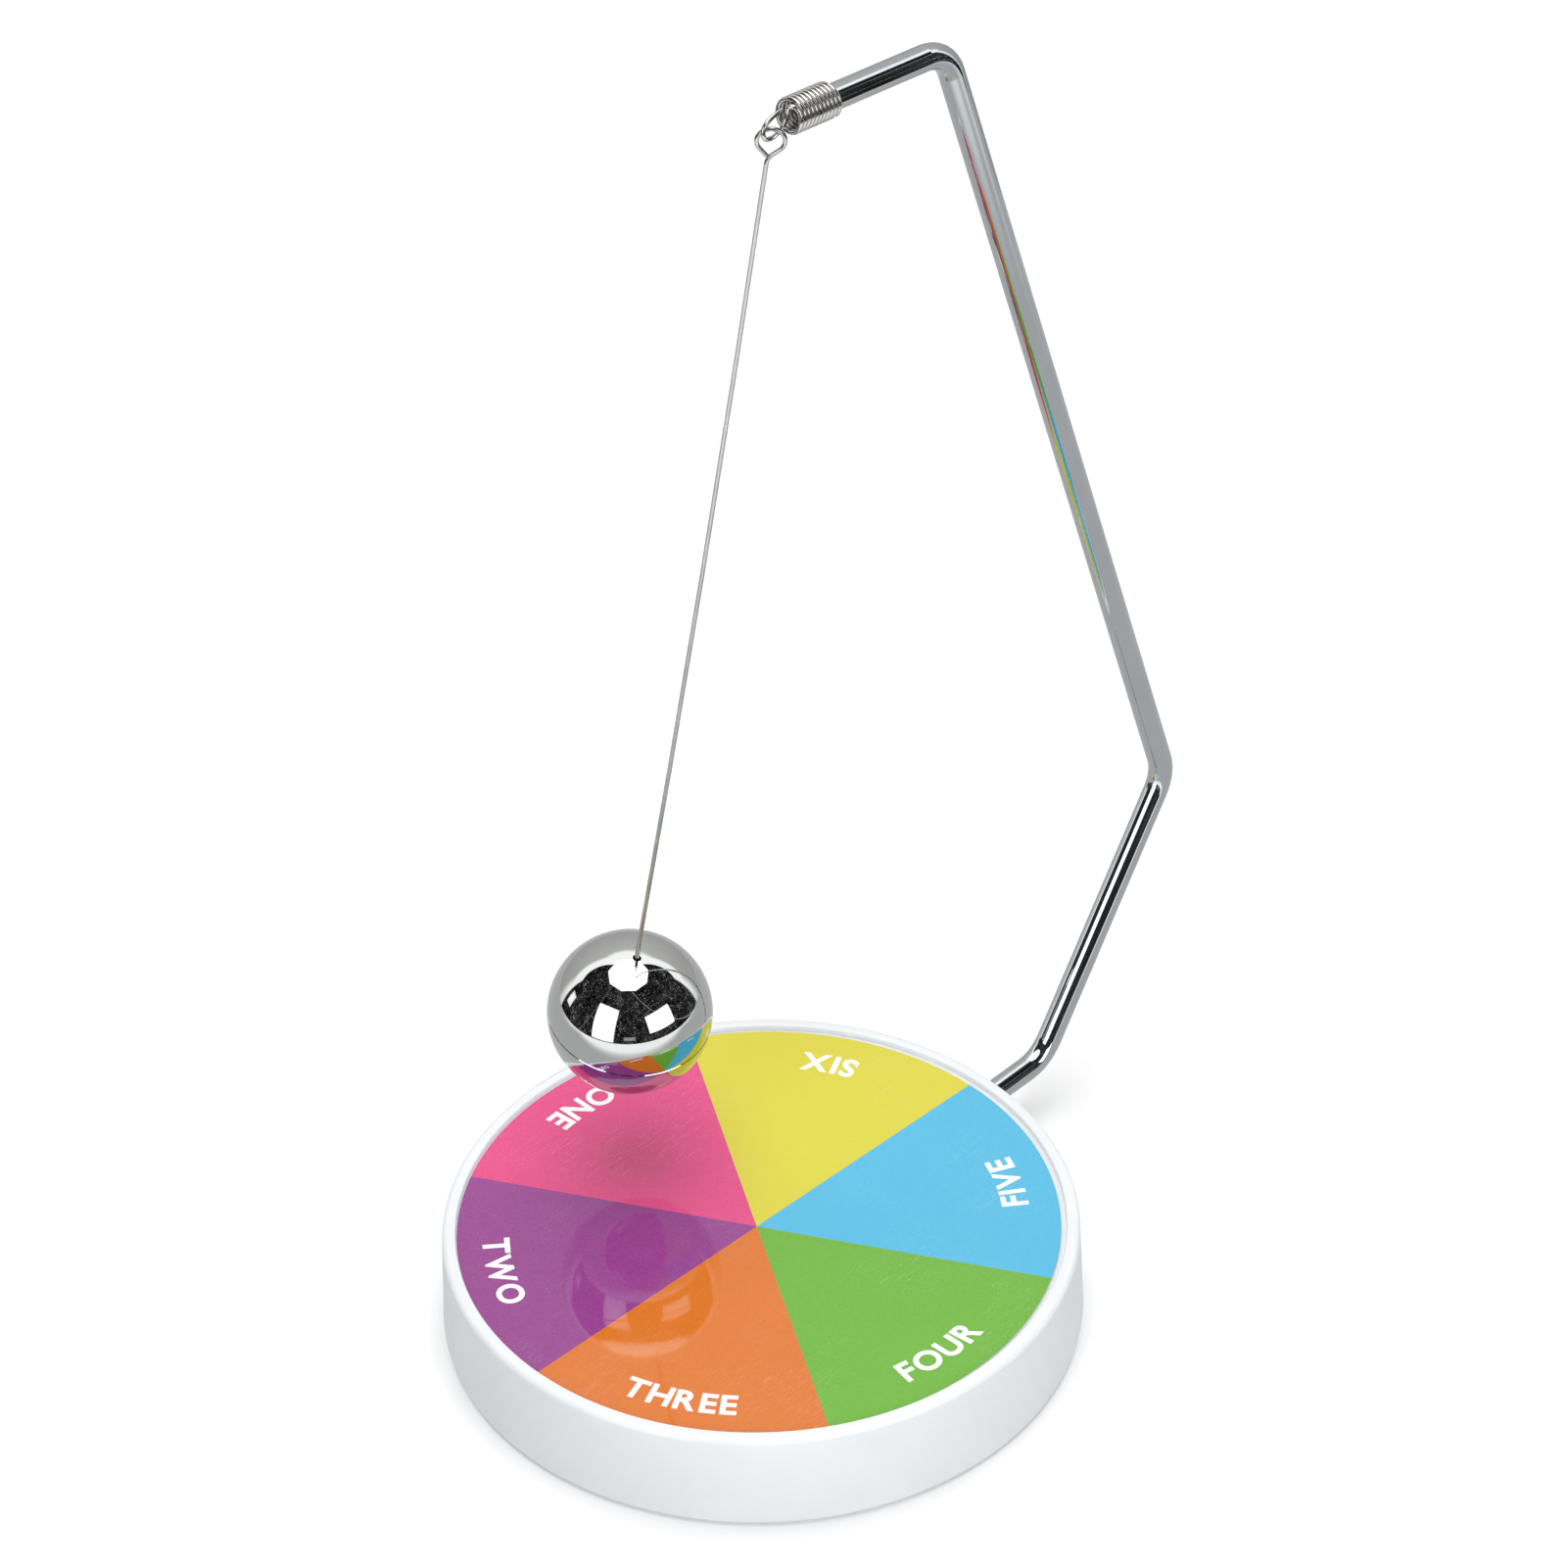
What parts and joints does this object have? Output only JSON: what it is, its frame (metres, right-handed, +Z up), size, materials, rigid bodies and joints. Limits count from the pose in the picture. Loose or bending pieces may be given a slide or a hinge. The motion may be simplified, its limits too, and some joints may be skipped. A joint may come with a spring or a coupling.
{
  "type": "tabletop decision pendulum",
  "caption": "Round desk base with a coloured numbered dial and a bent chrome arm, from which a chrome ball hangs on a stiff wire and swings over the dial to pick a sector.",
  "frame": {"origin": "on the floor at the centre of the round base, on the non-slip pad's lower face", "axes": "+Z up; +X from the base's centre towards the side where the arm leaves it; +Y across, so the bent arm lies in the XZ plane and the ball at rest leans towards +Y"},
  "size_m": [0.1484, 0.1012, 0.2154],
  "materials": {
    "white_plastic": "satin moulded white",
    "dial_print": "laminated print in six coloured sectors with white numbering",
    "white_cover": "matt moulded white",
    "pad_rubber": "matt black non-slip sheet",
    "ballast_steel": "plain cut steel plate",
    "screw_steel": "zinc plated",
    "clamp_plastic": "matt black moulding",
    "rod_chrome": "bright chrome plate",
    "ferrite": "dark grey ground magnet",
    "keeper_steel": "thin steel sheet",
    "spring_nickel": "bright nickel plated spring wire",
    "wire_steel": "bright drawn wire",
    "bead_brass": "crimped bead",
    "ball_chrome": "mirror chrome plate"
  },
  "bodies": {
    "base": {"base_shell": "white_plastic", "dial_label": "dial_print", "bottom_cover": "white_cover", "nonslip_pad": "pad_rubber", "ballast_plate": "ballast_steel", "cover_screws": "screw_steel", "rod_clamp": "clamp_plastic", "clamp_screws": "screw_steel", "support_rod": "rod_chrome", "sector_magnet_1": "ferrite", "sector_magnet_2": "ferrite", "sector_magnet_3": "ferrite", "sector_magnet_4": "ferrite", "sector_magnet_5": "ferrite", "sector_magnet_6": "ferrite", "centre_magnet": "ferrite", "magnet_keeper": "keeper_steel"},
    "hook_spring": {"hook_spring": "spring_nickel"},
    "pendulum": {"pendulum_wire": "wire_steel", "stop_bead": "bead_brass"},
    "ball": {"ball_upper_shell": "ball_chrome", "ball_lower_shell": "ball_chrome", "ball_magnet": "ferrite"}
  },
  "joints": [
    {"name": "side_swing", "type": "hinge", "parent": "base", "child": "hook_spring", "pos_m": [0.015, 0, 0.2124], "axis": [0.9935, 0, -0.1136], "range_deg": [-55, 35]},
    {"name": "rocking_swing", "type": "hinge", "parent": "hook_spring", "child": "pendulum", "pos_m": [0.00832, 0.00007, 0.21192], "axis": [0.6939, -0.7045, -0.1486], "range_deg": [-45, 35]},
    {"name": "ball_spin", "type": "hinge", "parent": "pendulum", "child": "ball", "pos_m": [0.00011, 0.0274, 0.0444], "axis": [-0.0473, -0.2119, 0.9761], "continuous": true}
  ]
}
